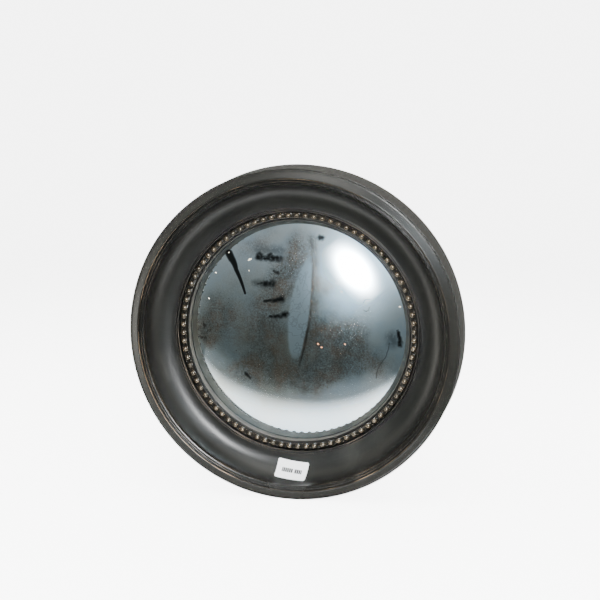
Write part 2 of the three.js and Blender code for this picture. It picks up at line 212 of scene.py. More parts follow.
# ---------------- material helpers
class Graph:
    """A small builder for shader nodes. A number or colour sets a socket, and a socket links to it."""

    def __init__(self, name, kinds=bpy.data.materials):
        self.made = kinds.new(name)
        self.made.use_nodes = True
        self.tree = self.made.node_tree
        self.shader = self.tree.nodes.get("Principled BSDF")

    def feed(self, socket, value):
        if isinstance(value, bpy.types.NodeSocket):
            self.tree.links.new(value, socket)
        elif hasattr(socket.default_value, "__len__") and not hasattr(value, "__len__"):
            socket.default_value = (value,) * len(socket.default_value)
        elif hasattr(value, "__len__") and len(socket.default_value) == 4 and len(value) == 3:
            socket.default_value = (*value, 1)
        else:
            socket.default_value = value

    def node(self, kind, inputs, output=0, **settings):
        """Adds a node with these inputs and settings, and gives back one of its outputs."""
        node = self.tree.nodes.new("ShaderNode" + kind)
        for name, value in settings.items():
            setattr(node, name, value)
        for name, value in inputs.items():
            self.feed(node.inputs[name], value)
        return node.outputs[output]

    def set(self, **values):
        for name, value in values.items():
            self.feed(self.shader.inputs[name.replace("_", " ")], value)

    def show(self, shader):
        """Makes this shader the one that is seen."""
        output = next(node for node in self.tree.nodes if node.type.startswith("OUTPUT"))
        self.feed(output.inputs["Surface"], shader)

    def math(self, operation, first, second=0.0, clamp=False):
        return self.node("Math", {0: first, 1: second}, operation=operation, use_clamp=clamp)

    def chain(self, operation, values):
        result = values[0]
        for value in values[1:]:
            result = self.math(operation, result, value)
        return result

    def add(self, *values):
        return self.chain("ADD", values)

    def times(self, *values):
        return self.chain("MULTIPLY", values)

    def largest(self, *values):
        return self.chain("MAXIMUM", values)

    def minus(self, first, second):
        return self.math("SUBTRACT", first, second)

    def position(self):
        return self.node("TexCoord", {}, "Object")

    def split(self, vector):
        return self.node("SeparateXYZ", {0: vector}).node.outputs

    def join(self, x, y, z):
        return self.node("CombineXYZ", {0: x, 1: y, 2: z})

    def scaled(self, vector, scale, shift=(0, 0, 0)):
        return self.node("Mapping", {"Vector": vector, "Scale": scale, "Location": shift})

    def noise(self, vector, scale, detail=3.0, roughness=0.5, distortion=0.0, output="Fac"):
        inputs = {"Vector": vector, "Scale": scale, "Detail": detail, "Roughness": roughness,
                  "Distortion": distortion}
        return self.node("TexNoise", inputs, output)

    def cells(self, vector, scale):
        return self.node("TexVoronoi", {"Vector": vector, "Scale": scale}, "Distance")

    def between(self, value, low, high, from_value=0.0, to_value=1.0):
        """Maps low..high to from_value..to_value along a soft S curve."""
        inputs = {"Value": value, "From Min": low, "From Max": high,
                  "To Min": from_value, "To Max": to_value}
        return self.node("MapRange", inputs, "Result", interpolation_type="SMOOTHSTEP")

    def fading(self, value, low, high):
        """1 up to low, falling to 0 at high."""
        return self.between(value, low, high, 1.0, 0.0)

    def mix(self, factor, first, second):
        """The first colour where factor is 0, and the second where it is 1."""
        return self.node("Mix", {0: factor, 6: first, 7: second}, 2, data_type="RGBA")

    def bump(self, height, distance, strength=1.0):
        return self.node("Bump", {"Height": height, "Distance": distance, "Strength": strength})

    def round_place(self):
        """Radius, level and angle of the shaded point about the mirror's axis."""
        x, y, z = self.split(self.position())
        radius = self.math("SQRT", self.add(self.times(x, x), self.times(z, z)))
        return radius, self.times(y, -1.0), self.math("ARCTAN2", z, x)

    def near(self, value, target, half_width):
        """1 where value is target, falling to 0 at half_width away."""
        distance = self.math("ABSOLUTE", self.minus(value, target))
        return self.fading(distance, 0.0, half_width)

    def vector_math(self, operation, first, second):
        output = "Value" if operation in ("DOT_PRODUCT", "DISTANCE") else "Vector"
        return self.node("VectorMath", {0: first, 1: second}, output, operation=operation)

    def spot(self, vector, place, reach):
        """1 at place, fading to 0 at reach metres from it."""
        return self.fading(self.vector_math("DISTANCE", vector, place), 0.0, reach)

    def warped(self, vector, scale, amount):
        """The vector pushed about by noise, to make outlines uneven."""
        push = self.vector_math("SUBTRACT", self.noise(vector, scale, 4, output="Color"), (0.5, 0.5, 0.5))
        return self.vector_math("ADD", vector, self.vector_math("MULTIPLY", push, (amount,) * 3))

    def cloud(self, plane, centre, reach, lean=0.0):
        """1 at centre, fading to 0 at the edge of an oval that leans from the X axis."""
        offset = self.vector_math("SUBTRACT", plane, (centre[0], 0, centre[1]))
        along = Vector((math.cos(lean), 0, math.sin(lean))) / reach[0]
        across = Vector((-math.sin(lean), 0, math.cos(lean))) / reach[1]
        first = self.vector_math("DOT_PRODUCT", offset, along)
        second = self.vector_math("DOT_PRODUCT", offset, across)
        squared = self.add(self.times(first, first), self.times(second, second))
        return self.fading(self.math("SQRT", squared), 0.0, 1.0)

    def stroke(self, plane, start, end, start_half, end_half, bend=0.0, softness=0.25):
        """A tapered stroke between two places in the plane, bowed sideways by bend."""
        first = Vector((start[0], 0, start[1]))
        path = Vector((end[0], 0, end[1])) - first
        along = path.normalized()
        side = Vector((-along.z, 0, along.x))
        offset = self.vector_math("SUBTRACT", plane, first)
        reach = self.vector_math("DOT_PRODUCT", offset, along)
        part = self.math("DIVIDE", reach, path.length, clamp=True)
        beyond = self.minus(reach, self.times(part, path.length))
        bow = self.times(part, self.minus(1.0, part), 4 * bend)
        aside = self.minus(self.vector_math("DOT_PRODUCT", offset, side), bow)
        distance = self.math("SQRT", self.add(self.times(beyond, beyond), self.times(aside, aside)))
        half = self.add(self.times(part, end_half - start_half), start_half)
        return self.fading(self.math("DIVIDE", distance, half), 1 - softness, 1 + softness)


# ---------------- materials
def wear_lines(g, radius, level, angle):
    """Where the paint is rubbed through: narrow lines along the turned edges, made stronger at the lower
    left and lower right, where they are partly a painted highlight on edges that catch the light.
    """
    rubbed_lines = (
        # radius, half width, strength
        (RIDGE_RADIUS - 0.2 * MM, 0.6 * MM, 0.85),
        (RIDGE_RADIUS - 3.4 * MM, 0.6 * MM, 0.20),
        (COVE_OUTER.x + 0.1 * MM, 0.5 * MM, 0.20),
        (COVE_INNER.x - 0.2 * MM, 0.6 * MM, 0.30),
        (SLIP_RADIUS - 1.6 * MM, 0.7 * MM, 0.35),
    )
    # Where the rubbed lines are made stronger: real wear, and a painted highlight on the lower edges that
    # face the light.
    wear_highlight_places = (
        # angle, half width in radians, strength
        (math.radians(-117), 0.15, 1.0),
        (math.radians(-61), 0.12, 1.0),
        (math.radians(-150), 0.9, 0.6),
    )
    wear = g.largest(*(g.times(g.near(radius, place, half), strength)
                       for place, half, strength in rubbed_lines))
    wear_highlight = g.largest(*(g.times(g.near(angle, place, half), strength)
                          for place, half, strength in wear_highlight_places))
    patchy = g.noise(g.join(angle, g.times(radius, 8.0), 0.0), 3.5)
    wear = g.times(wear, g.largest(g.between(patchy, 0.45, 0.70, 0.05, 0.45), wear_highlight))
    return g.times(wear, g.between(level, 15 * MM, 22 * MM))


def bare_back(g, radius, level, patches):
    """1 on the unpainted rear face, inside an uneven line where the paint laps round the edge."""
    spill = g.add(radius, g.times(g.minus(patches, 0.5), 10 * MM))
    unpainted = g.fading(spill, FRAME_RADIUS - 8 * MM, FRAME_RADIUS - 4.5 * MM)
    return g.times(g.fading(level, 0.15 * MM, 0.6 * MM), unpainted)


def dust_smears(g, position):
    """Two smeared dusty places in the cove, at its lower right and its left."""
    scuffed = g.spot(position, at(FRAME_RADIUS - 33 * MM, RIM_LEVEL - 15 * MM, math.radians(300)), 55 * MM)
    smeared = g.spot(position, at(FRAME_RADIUS - 36 * MM, RIM_LEVEL - 17 * MM, math.radians(198)), 34 * MM)
    smears = g.noise(g.warped(g.scaled(position, (1, 1, 0.4)), 12, 0.02), 40, 3, 0.6)
    return g.times(g.largest(scuffed, smeared), g.between(smears, 0.42, 0.66))


def grey_lip(g, paint, radius, level, patches):
    """The paint, turned grey on the slip's lip, with a painted shadow at the lip's foot where it meets the
    glass.
    """
    on_lip = g.fading(radius, LIP_RADIUS + 0.6 * MM, LIP_RADIUS + 1.1 * MM)
    grey = g.mix(g.between(patches, 0.35, 0.65), (0.078, 0.072, 0.060), (0.110, 0.102, 0.086))
    # Painted shadow: a dark band at the lip's foot, where it meets the glass.
    grey = g.mix(g.near(level, LIP_FOOT, 1.2 * MM), grey, (0.02, 0.02, 0.02))
    return g.mix(on_lip, paint, grey)


def paint_roughness(g, position, radius, clouds):
    """Satin, duller round the sticker, and smoother on the rolls, where hands have rubbed it."""
    satin = g.between(clouds, 0.3, 0.7, 0.31, 0.345)
    by_label = g.spot(position, at(COVE_OUTER.x - 2 * MM, RIM_LEVEL - 2 * MM, LABEL_ANGLE), 30 * MM)
    on_rolls = g.times(g.between(radius, COVE_OUTER.x - 0.6 * MM, COVE_OUTER.x + 0.2 * MM),
                       g.fading(radius, FRAME_RADIUS - 2 * MM, FRAME_RADIUS))
    return g.add(satin, g.times(by_label, 0.45), g.times(on_rolls, -0.10))


def ebonised_wood():
    """Satin black paint on turned wood: grey lip with a painted shadow at its foot, a side wall lightened as
    a painted reflection, brown rubbed edges with a painted highlight on the lower ones, faint scuffs, and
    bare at the back.
    """
    g = Graph("ebonised_wood")
    position = g.position()
    radius, level, angle = g.round_place()
    turning = g.noise(g.join(radius, level, g.times(angle, 0.012)), 420, 2)
    clouds = g.noise(position, 14)
    patches = g.noise(position, 55, 4, 0.6)
    paint = g.mix(g.between(clouds, 0.35, 0.7), (0.0046, 0.0045, 0.0036), (0.0082, 0.0078, 0.0064))
    paint = g.mix(g.times(g.between(turning, 0.45, 0.75), 0.25), paint, (0.017, 0.015, 0.012))

    # The side wall is painted a lighter, streaky grey-brown: partly its own brushed finish, partly a painted
    # reflection of the pale surroundings.
    on_side = g.between(radius, FRAME_RADIUS - 0.6 * MM, FRAME_RADIUS - 0.2 * MM)
    brushing = g.noise(g.join(g.times(angle, 9.0), g.times(level, 5.0), 0.0), 6, 5, 0.7)
    paint = g.mix(g.times(on_side, g.between(brushing, 0.4, 0.7, 0.3, 0.6)), paint, (0.062, 0.060, 0.055))
    on_band = g.between(radius, RIDGE_RADIUS, RIDGE_RADIUS + 2 * MM)
    paint = g.mix(g.times(on_band, 0.03), paint, (0.15, 0.145, 0.125))
    paint = g.mix(wear_lines(g, radius, level, angle), paint, (0.36, 0.255, 0.165))
    dust = dust_smears(g, position)
    paint = g.mix(g.times(dust, 0.10), paint, (0.15, 0.145, 0.135))
    paint = grey_lip(g, paint, radius, level, patches)

    grain = g.noise(g.scaled(position, (6, 6, 60)), 6, 6, 0.65, 1.5)
    bare = g.mix(g.between(grain, 0.3, 0.7), (0.15, 0.088, 0.045), (0.30, 0.19, 0.105))
    at_back = bare_back(g, radius, level, patches)
    roughness = g.add(paint_roughness(g, position, radius, clouds), g.times(dust, 0.08),
                      g.times(on_side, g.between(brushing, 0.4, 0.7, 0.02, 0.14)), g.times(at_back, 0.35))
    height = g.add(g.times(turning, 0.2), g.times(g.noise(position, 130, 2), 0.8),
                   g.times(grain, at_back, 2.0))
    g.set(Base_Color=g.mix(at_back, paint, bare), Roughness=roughness, Specular_IOR_Level=0.48,
          Normal=g.bump(height, 0.007 * MM, 0.6))
    return g.made


def bronzed_bead():
    """Dark composition beads, rubbed with bronze on their crowns."""
    g = Graph("bronzed_bead")
    position = g.position()
    _, level, _ = g.round_place()
    mottle = g.noise(position, 120, 2, 0.5)
    per_bead = g.noise(position, 45, 1)
    crown = g.between(g.add(level, g.times(g.minus(mottle, 0.5), 0.8 * MM)),
                      CHANNEL_LEVEL + 3.4 * MM, CHANNEL_LEVEL + 6.6 * MM)
    bronze = g.mix(g.between(per_bead, 0.35, 0.65), (0.085, 0.068, 0.045), (0.150, 0.112, 0.070))
    colour = g.mix(crown, (0.016, 0.013, 0.009), bronze)
    g.set(Base_Color=colour,
          Metallic=g.between(crown, 0.0, 1.0, 0.3, 0.8),
          Roughness=g.between(mottle, 0.3, 0.7, 0.15, 0.20),
          Coat_Weight=0.9, Coat_Roughness=0.09,
          Normal=g.bump(g.noise(position, 150, 2), 0.006 * MM, 0.6))
    return g.made


# Places on the glass are in lip radii from its middle, X to the right and Z up.
FOXING_AND_DARK_REFLECTION_CLOUDS = (
    # middle, reach along and across, lean, strength
    ((-0.30, 0.00), (0.46, 0.48), 0.3, 0.75),
    ((-0.24, -0.06), (0.26, 0.26), 0.0, 0.50),
    ((-0.14, 0.46), (0.52, 0.24), 1.1, 0.90),
    ((0.00, 0.74), (0.30, 0.18), 1.3, 0.75),
    ((0.22, 0.40), (0.30, 0.14), 0.5, 0.70),
    ((0.25, 0.00), (0.42, 0.26), 1.4, 1.00),
    ((0.50, -0.02), (0.42, 0.22), 1.2, 0.95),
    ((0.42, -0.28), (0.56, 0.24), 0.35, 0.90),
    # These two low clouds are foxing, and also a painted reflection: the darker band just above the white
    # crescent.
    ((0.06, -0.42), (0.42, 0.30), -0.3, 0.95),
    ((-0.22, -0.33), (0.42, 0.32), 0.4, 0.75),
    ((-0.44, -0.36), (0.40, 0.20), 0.4, 0.60),
    ((-0.74, 0.08), (0.30, 0.34), 0.0, 0.85),
    ((-0.85, -0.03), (0.14, 0.20), 0.2, 0.80),
    ((0.78, -0.32), (0.24, 0.28), 0.6, 0.55),
    ((-0.36, 0.80), (0.36, 0.16), 0.3, 0.50),
    ((-0.54, 0.40), (0.60, 0.46), 0.8, 0.38),
    ((-0.55, -0.30), (0.50, 0.36), 0.0, 0.35),
)
BARE_STICK = (
    # start, end, half width at each end, and a bow if it isn't straight
    ((-0.638, 0.682), (-0.612, 0.640), 0.036, 0.033),
    ((-0.612, 0.640), (-0.562, 0.545), 0.033, 0.020, 0.006),
    ((-0.562, 0.545), (-0.470, 0.342), 0.020, 0.010, 0.006),
)
BARE_SMUDGES = (
    ((-0.160, 0.662), (-0.365, 0.664), 0.030, 0.024),
    ((-0.346, 0.682), (-0.350, 0.690), 0.040, 0.030),
    ((-0.244, 0.676), (-0.248, 0.686), 0.042, 0.032),
    ((-0.170, 0.541), (-0.212, 0.552), 0.014, 0.007),
    ((-0.222, 0.441), (-0.235, 0.441), 0.034, 0.026),
    ((-0.270, 0.438), (-0.355, 0.430), 0.028, 0.010),
    ((-0.132, 0.308), (-0.165, 0.300), 0.034, 0.024),
    ((-0.165, 0.296), (-0.290, 0.284), 0.020, 0.009),
    ((-0.085, 0.178), (-0.235, 0.150), 0.026, 0.010, 0.008),
    ((0.897, 0.040), (0.915, -0.085), 0.009, 0.024, 0.004),
    ((-0.468, -0.392), (-0.428, -0.430), 0.015, 0.010),
    ((0.196, 0.852), (0.216, 0.852), 0.024, 0.020),
)
SMUDGE_HAZES = (
    ((-0.160, 0.730), (-0.355, 0.730), 0.040, 0.040),
    ((-0.300, 0.436), (-0.385, 0.440), 0.040, 0.026),
    ((0.850, -0.020), (0.860, -0.060), 0.050, 0.050),
)
HAIRLINES = (
    ((0.825, -0.073), (0.789, -0.210), 0.0045, 0.0045, 0.006),
    ((0.789, -0.210), (0.724, -0.317), 0.0045, 0.0045, -0.006),
    ((0.724, -0.317), (0.716, -0.395), 0.0045, 0.0060),
    ((0.600, 0.290), (0.655, 0.320), 0.0045, 0.0045, 0.020),
    ((0.600, 0.225), (0.650, 0.250), 0.0045, 0.0045, -0.020),
)
# Painted highlights: small warm-white flecks standing in for glints and reflected bead highlights on the
# glass.
PAINTED_HIGHLIGHT_FLECKS = (
    ((-0.445, 0.637), (-0.425, 0.648), 0.0075, 0.0065),
    ((-0.640, 0.690), (-0.638, 0.692), 0.0050, 0.0050),
    ((-0.440, 0.545), (-0.438, 0.543), 0.0045, 0.0045),
    ((0.403, 0.389), (0.409, 0.389), 0.0065, 0.0060),
    ((0.910, 0.254), (0.914, 0.252), 0.0065, 0.0060),
    ((-0.762, 0.506), (-0.758, 0.504), 0.0065, 0.0060),
    ((-0.822, 0.270), (-0.820, 0.268), 0.0055, 0.0050),
)
RED_FLECKS = (
    ((0.203, -0.080), (0.209, -0.084), 0.0075, 0.0065),
    ((0.233, -0.110), (0.239, -0.112), 0.0070, 0.0060),
    ((0.440, -0.078), (0.445, -0.080), 0.0065, 0.0060),
)


def all_strokes(g, plane, strokes, **softness):
    return g.largest(*(g.stroke(plane, *stroke, **softness) for stroke in strokes))


def clear_leaf(g, plane):
    """The long clear patch left of the crease, the crease down its right side, and the stain beside it."""
    x, _, z = g.split(plane)
    above = g.minus(z, 0.45)
    right_edge = g.minus(0.150, g.times(above, above, 0.22))
    above = g.minus(z, 0.05)
    left_edge = g.minus(g.times(above, above, 0.39), 0.087)
    from_right = g.minus(right_edge, x)
    from_left = g.minus(x, left_edge)
    inside = g.times(g.between(from_right, 0.0, 0.03), g.between(from_left, 0.0, 0.04))
    inside = g.times(inside, g.between(z, -0.32, -0.12))
    inside = g.times(inside, g.fading(z, 0.56, 0.74))
    in_length = g.times(g.between(z, -0.36, -0.20), g.fading(z, 0.82, 0.92))
    crease = g.times(g.near(from_right, 0.0, 0.016), g.between(z, 0.05, 0.30, 1.0, 0.45))
    stain = g.near(from_right, -0.015, 0.075)
    return inside, g.times(crease, in_length), g.times(stain, in_length)


def foxing_amount(g, plane, leaf, stain):
    """How brown and speckled the silver is: soft clouds broken up by clumps and fine grain. Two low clouds
    also paint in the darker reflection just above the white crescent.
    """
    drifting = g.warped(plane, 4, 0.22)
    clouds = g.times(stain, 0.8)
    for middle, reach, lean, strength in FOXING_AND_DARK_REFLECTION_CLOUDS:
        clouds = g.add(clouds, g.times(g.cloud(drifting, middle, reach, lean), strength))
    clouds = g.times(clouds, g.between(leaf, 0.0, 1.0, 1.0, 0.22))
    clumps = g.noise(plane, 9, 5, 0.7)
    grain = g.noise(plane, 62, 3, 0.7)
    broken = g.add(g.between(clumps, 0.30, 0.66, 0.50, 0.95), g.between(grain, 0.34, 0.66, -0.24, 0.24))
    return g.times(g.between(clouds, 0.0, 1.0), broken)


def hazed_silver(g, plane, leaf):
    """Blue-white silver, hazed to a dull grey-green over its left side."""
    drifts = g.noise(g.warped(plane, 3, 0.2), 2.6, 4, 0.6)
    haze = g.between(g.cloud(plane, (-0.42, -0.12), (1.15, 1.10)), 0.05, 0.75)
    haze = g.times(haze, g.between(drifts, 0.32, 0.68, 0.45, 1.0))
    haze = g.times(haze, g.between(leaf, 0.0, 1.0, 1.0, 0.2))
    silver = g.mix(g.between(drifts, 0.35, 0.65), (0.64, 0.76, 0.84), (0.76, 0.83, 0.85))
    silver = g.mix(g.times(leaf, 0.7), silver, (0.74, 0.88, 0.98))
    return g.mix(g.times(haze, 0.85), silver, (0.43, 0.46, 0.41))


def foxed_silver(g, plane, silver, foxing):
    """The silver, browned by foxing, with dark specks and coppery glints in it."""
    brown = g.mix(g.between(g.noise(plane, 5), 0.42, 0.60), (0.200, 0.195, 0.170), (0.265, 0.205, 0.155))
    silver = g.mix(g.times(foxing, 0.95), silver, brown)
    specks = g.fading(g.cells(plane, 52), 0.12, 0.30)
    silver = g.mix(g.times(specks, g.between(foxing, 0.25, 0.8), 0.55), silver, (0.07, 0.062, 0.052))
    glints = g.fading(g.cells(g.scaled(plane, (1, 1, 1), (3, 0, 5)), 44), 0.10, 0.24)
    return g.mix(g.times(glints, g.between(foxing, 0.4, 0.9), 0.28), silver, (0.56, 0.44, 0.34))


def fine_veins(g, plane):
    """Thin wandering lines in the silver round the clear leaf."""
    lines = g.largest(g.near(g.noise(g.warped(plane, 6, 0.12), 4.2), 0.5, 0.014),
                      g.near(g.noise(g.warped(plane, 7, 0.10), 7.5, 2), 0.5, 0.020))
    near_leaf = g.between(g.cloud(plane, (0.02, 0.18), (0.34, 0.66)), 0.0, 0.5)
    return g.times(lines, near_leaf, 0.20)


def thin_silver(g, plane, wobbling, crease):
    """Where the silver is worn thin: the crease, hairlines, pinholes, and rot at the left edge."""
    worn_crease = g.times(crease, g.between(g.noise(plane, 13), 0.35, 0.55, 0.5, 1.0))
    hairlines = g.times(all_strokes(g, wobbling, HAIRLINES), 0.55)
    pin_field = g.between(g.cloud(plane, (-0.60, 0.00), (0.42, 0.55)), 0.05, 0.5)
    pins = g.times(g.fading(g.cells(plane, 17), 0.05, 0.10), pin_field, 0.8)
    rot = g.times(g.between(g.noise(plane, 26, 4, 0.7), 0.50, 0.62),
                  g.between(g.cloud(plane, (-0.865, -0.03), (0.10, 0.16)), 0.1, 0.5))
    return g.largest(worn_crease, hairlines, pins, rot)


def bare_silver(g, plane):
    """Where the silver is gone: the stick-like mark and the fuzzy smudges."""
    fuzzy = g.warped(plane, 30, 0.03)
    smudges = g.largest(all_strokes(g, fuzzy, BARE_SMUDGES, softness=0.75),
                        g.times(all_strokes(g, fuzzy, SMUDGE_HAZES, softness=1.0), 0.55))
    smudges = g.times(smudges, g.between(g.noise(plane, 34), 0.30, 0.50, 0.55, 1.0))
    return g.largest(all_strokes(g, plane, BARE_STICK), smudges)


def silvered_glass():
    """Old convex mirror plate: silvering that has hazed over, foxed brown, creased and flaked, with a few
    painted highlight flecks.
    """
    g = Graph("silvered_glass")
    plane = g.scaled(g.position(), (1 / LIP_RADIUS, 0, 1 / LIP_RADIUS))
    wobbling = g.warped(plane, 12, 0.02)
    leaf, crease, stain = clear_leaf(g, wobbling)
    foxing = foxing_amount(g, plane, leaf, stain)
    silver = foxed_silver(g, plane, hazed_silver(g, plane, leaf), foxing)
    silver = g.mix(fine_veins(g, plane), silver, (0.16, 0.115, 0.08))
    silver = g.mix(g.times(thin_silver(g, plane, wobbling, crease), 0.9), silver, (0.055, 0.042, 0.032))
    silver = g.mix(bare_silver(g, plane), silver, (0.012, 0.015, 0.014))
    # The pale flecks are painted highlights, bright and not metallic.
    pale = all_strokes(g, plane, PAINTED_HIGHLIGHT_FLECKS)
    red = all_strokes(g, plane, RED_FLECKS)
    silver = g.mix(pale, silver, (1.0, 0.92, 0.72))
    silver = g.mix(red, silver, (0.62, 0.27, 0.13))
    roughness = g.add(g.times(foxing, 0.12), g.between(g.noise(plane, 3), 0.3, 0.7, 0.035, 0.07))
    g.set(Base_Color=silver, Metallic=g.minus(1.0, g.largest(pale, red)), Roughness=roughness,
          Coat_Weight=0.4, Coat_Roughness=0.03, Normal=g.bump(g.noise(plane, 3, 2), 0.05 * MM))
    return g.made


def fibrous(name, scale, dark, pale, roughness, depth, tangle=0.0):
    """A matt material of fine fibres, dark and pale."""
    g = Graph(name)
    fibres = g.noise(g.position(), scale, 5, 0.7, tangle)
    g.set(Base_Color=g.mix(fibres, dark, pale), Roughness=roughness, Normal=g.bump(fibres, depth))
    return g.made


def grey_felt():
    return fibrous("grey_felt", 1400, (0.09, 0.088, 0.085), (0.22, 0.215, 0.21), 0.95, 0.3 * MM, tangle=2.0)


def packing_card():
    return fibrous("packing_card", 500, (0.33, 0.2, 0.1), (0.47, 0.31, 0.17), 0.9, 0.1 * MM)


def brown_hardboard():
    """Hardboard, rough side out: brown pressed fibre with faint stains and a mesh print."""
    g = Graph("brown_hardboard")
    position = g.position()
    x, _, z = g.split(position)
    fibres = g.noise(g.scaled(position, (1, 1, 2.2)), 300, 6, 0.7, 1.0)
    stains = g.noise(position, 9, 4, 0.6)
    weave_x = g.math("SINE", g.times(x, 2400))
    weave_z = g.math("SINE", g.times(z, 2400))
    weave = g.between(g.times(weave_x, weave_z), -1.0, 1.0)
    colour = g.mix(fibres, (0.115, 0.062, 0.032), (0.255, 0.150, 0.080))
    colour = g.mix(g.times(g.between(stains, 0.5, 0.72), 0.5), colour, (0.085, 0.05, 0.03))
    height = g.add(g.times(weave, 0.5), fibres)
    g.set(Base_Color=colour, Roughness=g.between(fibres, 0.3, 0.7, 0.7, 0.88),
          Normal=g.bump(height, 0.16 * MM))
    return g.made


def plated_steel(name, bright, dull):
    """Plated fittings: brushed, a little tarnished, with darker blotches."""
    g = Graph(name)
    position = g.position()
    brushed = g.noise(g.scaled(position, (1, 1, 0.06)), 2600, 3, 0.6)
    tarnish = g.noise(position, 120, 5, 0.65)
    colour = g.mix(g.between(tarnish, 0.42, 0.68), bright, dull)
    roughness = g.add(g.between(tarnish, 0.35, 0.7, 0.24, 0.46), g.times(brushed, 0.08))
    g.set(Base_Color=colour, Metallic=1.0, Roughness=roughness, Normal=g.bump(brushed, 0.02 * MM))
    return g.made


def zinc_steel():
    return plated_steel("zinc_steel", (0.56, 0.55, 0.50), (0.33, 0.32, 0.28))


def brassed_steel():
    return plated_steel("brassed_steel", (0.62, 0.44, 0.17), (0.30, 0.19, 0.075))


def black_rubber():
    """Matt black rubber with a faint grey bloom."""
    g = Graph("black_rubber")
    position = g.position()
    pores = g.noise(position, 900, 4, 0.7)
    bloom = g.noise(position, 130, 3, 0.6)
    colour = g.mix(g.between(bloom, 0.4, 0.7), (0.010, 0.010, 0.010), (0.030, 0.030, 0.029))
    g.set(Base_Color=colour, Roughness=g.between(pores, 0.3, 0.7, 0.6, 0.8),
          Normal=g.bump(pores, 0.08 * MM))
    return g.made


def white_paper(centre, across, up, width, height):
    """Coated label paper, with a row of plain printed bars that stand for its number."""
    g = Graph("white_paper")
    position = g.position()
    offset = g.vector_math("SUBTRACT", position, centre)
    side = g.vector_math("DOT_PRODUCT", offset, across)
    rise = g.vector_math("DOT_PRODUCT", offset, up)
    fibres = g.noise(position, 1500, 4, 0.7)
    grubby = g.noise(position, 70, 4, 0.6)
    paper = g.mix(g.between(grubby, 0.5, 0.8), (0.92, 0.92, 0.92), (0.84, 0.835, 0.82))
    bar_step = width / 16
    phase = g.math("FRACT", g.add(g.math("DIVIDE", side, bar_step), 0.5))
    bars = g.between(g.near(phase, 0.5, 0.5), 0.02, 0.12)
    in_row = g.between(g.near(rise, 0.0, height * 0.13), 0.05, 0.15)
    in_length = g.between(g.near(side, 0.0, width * 0.36), 0.01, 0.05)
    beside_space = g.fading(g.near(side, width * 0.055, bar_step * 0.6), 0.2, 0.4)
    print_mask = g.times(bars, in_row, in_length, beside_space)
    ink = g.mix(print_mask, paper, (0.012, 0.012, 0.014))
    g.set(Base_Color=ink, Roughness=g.between(fibres, 0.3, 0.7, 0.42, 0.55),
          Normal=g.bump(fibres, 0.02 * MM))
    return g.made


# ---------------- turned frame and slip
def frame_outline():
    rim = FRAME_RADIUS / MM
    corner = RIM_LEVEL / MM
    ridge = RIDGE_RADIUS / MM
    top = RIDGE_LEVEL / MM
    bore = BORE_RADIUS / MM
    seat = SLIP_RADIUS / MM + 0.3
    shelf = SHELF_LEVEL / MM
    cove_out = COVE_OUTER / MM
    cove_in = COVE_INNER / MM
    before_cove = rounded([
        (bore, 0, 0.4),
        (rim, 0, 1.0),
        (rim, corner, 0.4),
        (rim - 1.2, corner - 0.1, 0.3),
        (rim - 1.7, corner + 1.3, 0.7),
        (rim - 3.2, corner + 1.7, 0.7),
        (rim - 7, corner + 3.9, 5.0),
        (ridge + 0.9, top - 0.1, 2.6),
        (ridge - 0.3, top - 0.5, 0.7),
        (ridge - 1.0, top - 3.1, 0.4),
        (ridge - 2.0, top - 3.2, 0.4),
        (ridge - 2.5, top - 1.9, 0.9),
        (ridge - 3.9, top - 2.1, 0.9),
        (ridge - 4.4, top - 4.6, 0.3),
        (ridge - 4.7, top - 4.7, 0.3),
        (cove_out.x + 2.1, cove_out.y + 1.3, 0.5),
        (cove_out.x + 0.1, cove_out.y + 0.6, 0.3),
        (cove_out.x, cove_out.y - 0.4, 0.0),
    ])
    cove = arc(*cove_circle(), 28)
    after_cove = rounded([
        (cove_in.x, cove_in.y, 0.0),
        (cove_in.x - 0.1, cove_in.y + 0.8, 0.4),
        (seat, cove_in.y + 0.8, 0.4),
        (seat, shelf, 0.0),
        (bore, shelf, 0.0),
    ])
    return before_cove[:-1] + cove + after_cove[1:]


def build_frame(material):
    add_piece("frame_turning", turned_mesh("frame_turning", frame_outline()), material,
              "ebonised_wood", "frame_moulding")


def slip_outline():
    lip = LIP_RADIUS / MM
    foot = LIP_FOOT / MM
    lip_top = LIP_TOP / MM
    channel = CHANNEL_LEVEL / MM
    outer = SLIP_RADIUS / MM
    top = SLIP_LEVEL / MM
    inner_half = BORE_RADIUS / MM - 0.4
    shelf = SHELF_LEVEL / MM + 0.3
    fillet = outer - 2.6
    return rounded([
        (lip, foot, 0.3),
        (lip + 0.5, lip_top - 0.9, 0.8),
        (lip + 1.3, lip_top, 0.8),
        (lip + 2.5, lip_top, 0.6),
        (lip + 3.2, channel, 0.5),
        (fillet - 0.6, channel, 0.8),
        (fillet, top - 0.7, 0.4),
        (fillet + 0.5, top, 0.4),
        (outer - 0.5, top, 0.5),
        (outer, top - 1.0, 0.4),
        (outer, shelf, 0.0),
        (inner_half, shelf, 0.0),
        (inner_half, foot + 0.8, 0.0),
        (lip + 0.8, foot + 0.8, 0.0),
    ])


def build_slip(material):
    add_piece("slip_turning", turned_mesh("slip_turning", slip_outline()), material,
              "ebonised_wood", "bead_slip")


# ---------------- beading
def add_bead(bm, angle):
    """A ball flattened where it meets its strip, a hair out of place as moulded beads are."""
    base = CHANNEL_LEVEL + 0.3 * MM
    middle = CHANNEL_LEVEL + 3.3 * MM
    size = BEAD_RADIUS * random.uniform(0.965, 1.0)
    start = -math.asin((middle - base) / size)
    outline = [Vector((0, base))] + arc(Vector((0, middle)), size, start, math.pi / 2, 9)
    outline[-1].x = 0
    place = at(BEAD_CIRCLE + random.uniform(-0.08, 0.08) * MM, 0, angle + random.uniform(-0.0006, 0.0006))
    turn_about(bm, outline, place, 18, closed=False)


